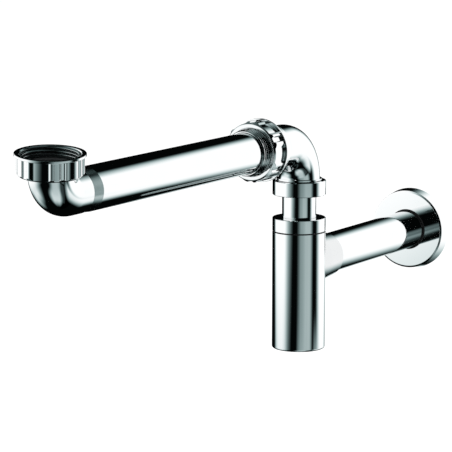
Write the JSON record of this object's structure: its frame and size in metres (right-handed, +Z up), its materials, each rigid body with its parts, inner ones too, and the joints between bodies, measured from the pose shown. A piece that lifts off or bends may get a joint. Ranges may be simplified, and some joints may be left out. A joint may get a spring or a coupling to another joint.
{
  "type": "basin trap",
  "caption": "Space-saving bottle trap for a basin: a bent inlet arm with a union nut, a gland and an elbow over a round bottle, and a waste pipe through a wall plate.",
  "frame": {"origin": "where the axis of the waste pipe meets the wall, in the plane of the wall plate's back", "axes": "+X into the wall along the waste pipe, +Z up, and the arm reaches out along -X"},
  "size_m": [0.5802, 0.0694, 0.2006],
  "materials": {
    "chromed_brass": "bright plated",
    "black_rubber": "smooth",
    "grey_rubber": "matt",
    "white_plastic": "satin"
  },
  "bodies": {
    "waste_pipe": {"waste_pipe": "chromed_brass"},
    "wall_cover": {"wall_plate": "chromed_brass", "grip_ring": "black_rubber"},
    "outlet_seals": {"outlet_oring_inner": "black_rubber", "outlet_oring_outer": "black_rubber"},
    "bottle": {"bottle_body": "chromed_brass", "bottle_gasket": "black_rubber", "dip_cone_seal": "grey_rubber"},
    "dip_slip_ring": {"dip_slip_ring": "white_plastic"},
    "ring_nut": {"ring_nut": "chromed_brass"},
    "dip_tube": {"dip_tube": "chromed_brass"},
    "trap_elbow": {"trap_elbow": "chromed_brass", "swivel_washer": "grey_rubber"},
    "swivel_slip_ring": {"swivel_slip_ring": "white_plastic"},
    "swivel_nut": {"swivel_nut": "chromed_brass"},
    "gland_collar": {"gland_collar": "chromed_brass"},
    "arm_nut": {"arm_nut": "chromed_brass"},
    "arm_seal": {"arm_cone_seal": "grey_rubber"},
    "arm": {"arm_tube": "chromed_brass", "inlet_washer": "grey_rubber", "inlet_slip_ring": "white_plastic"},
    "inlet_nut": {"inlet_nut": "chromed_brass"}
  },
  "joints": [
    {"name": "wall_cover_slide", "type": "slide", "parent": "waste_pipe", "child": "wall_cover", "axis": [-1, 0, 0], "range_m": [0, 0.14]},
    {"name": "outlet_push_fit", "type": "slide", "parent": "waste_pipe", "child": "outlet_seals", "axis": [-1, 0, 0], "range_m": [0, 0.008]},
    {"name": "outlet_turn", "type": "hinge", "parent": "outlet_seals", "child": "bottle", "pos_m": [-0.195, 0, 0], "axis": [1, 0, 0], "range_deg": [-90, 90]},
    {"name": "dip_tube_height", "type": "slide", "parent": "bottle", "child": "dip_tube", "axis": [0, 0, 1], "range_m": [-0.01, 0.025]},
    {"name": "dip_ring_rise", "type": "slide", "parent": "bottle", "child": "dip_slip_ring", "axis": [0, 0, 1], "range_m": [0, 0.0045]},
    {"name": "ring_nut_screw", "type": "hinge", "parent": "dip_slip_ring", "child": "ring_nut", "pos_m": [-0.195, 0, 0], "axis": [0, 0, 1], "range_deg": [0, 1080]},
    {"name": "elbow_swivel", "type": "hinge", "parent": "dip_tube", "child": "trap_elbow", "pos_m": [-0.195, 0, 0.0975], "axis": [0, 0, 1], "range_deg": [-115, 115]},
    {"name": "swivel_ring_drop", "type": "slide", "parent": "trap_elbow", "child": "swivel_slip_ring", "axis": [0, 0, -1], "range_m": [0, 0.0045]},
    {"name": "swivel_nut_screw", "type": "hinge", "parent": "swivel_slip_ring", "child": "swivel_nut", "pos_m": [-0.195, 0, 0.0975], "axis": [0, 0, -1], "range_deg": [0, 1080]},
    {"name": "gland_collar_slide", "type": "slide", "parent": "trap_elbow", "child": "gland_collar", "axis": [-1, 0, 0], "range_m": [0, 0.00924]},
    {"name": "arm_nut_screw", "type": "hinge", "parent": "gland_collar", "child": "arm_nut", "pos_m": [-0.195, 0, 0.0975], "axis": [-1, 0, 0], "range_deg": [0, 1440]},
    {"name": "arm_turn", "type": "hinge", "parent": "trap_elbow", "child": "arm_seal", "pos_m": [-0.195, 0, 0.0975], "axis": [1, 0, 0], "continuous": true},
    {"name": "arm_reach_slide", "type": "slide", "parent": "arm_seal", "child": "arm", "axis": [-1, 0, 0], "range_m": [-0.0018, 0.015]},
    {"name": "inlet_nut_spin", "type": "hinge", "parent": "arm", "child": "inlet_nut", "pos_m": [-0.53484, -0.00167, 0.12137], "axis": [-0.0767, -0.0696, 0.9946], "continuous": true}
  ],
  "couplings": [
    {"joint": "dip_ring_rise", "follows": "ring_nut_screw", "m_per_rad": 0.00023873},
    {"joint": "swivel_ring_drop", "follows": "swivel_nut_screw", "m_per_rad": 0.00023873},
    {"joint": "gland_collar_slide", "follows": "arm_nut_screw", "m_per_rad": 0.00036749}
  ]
}
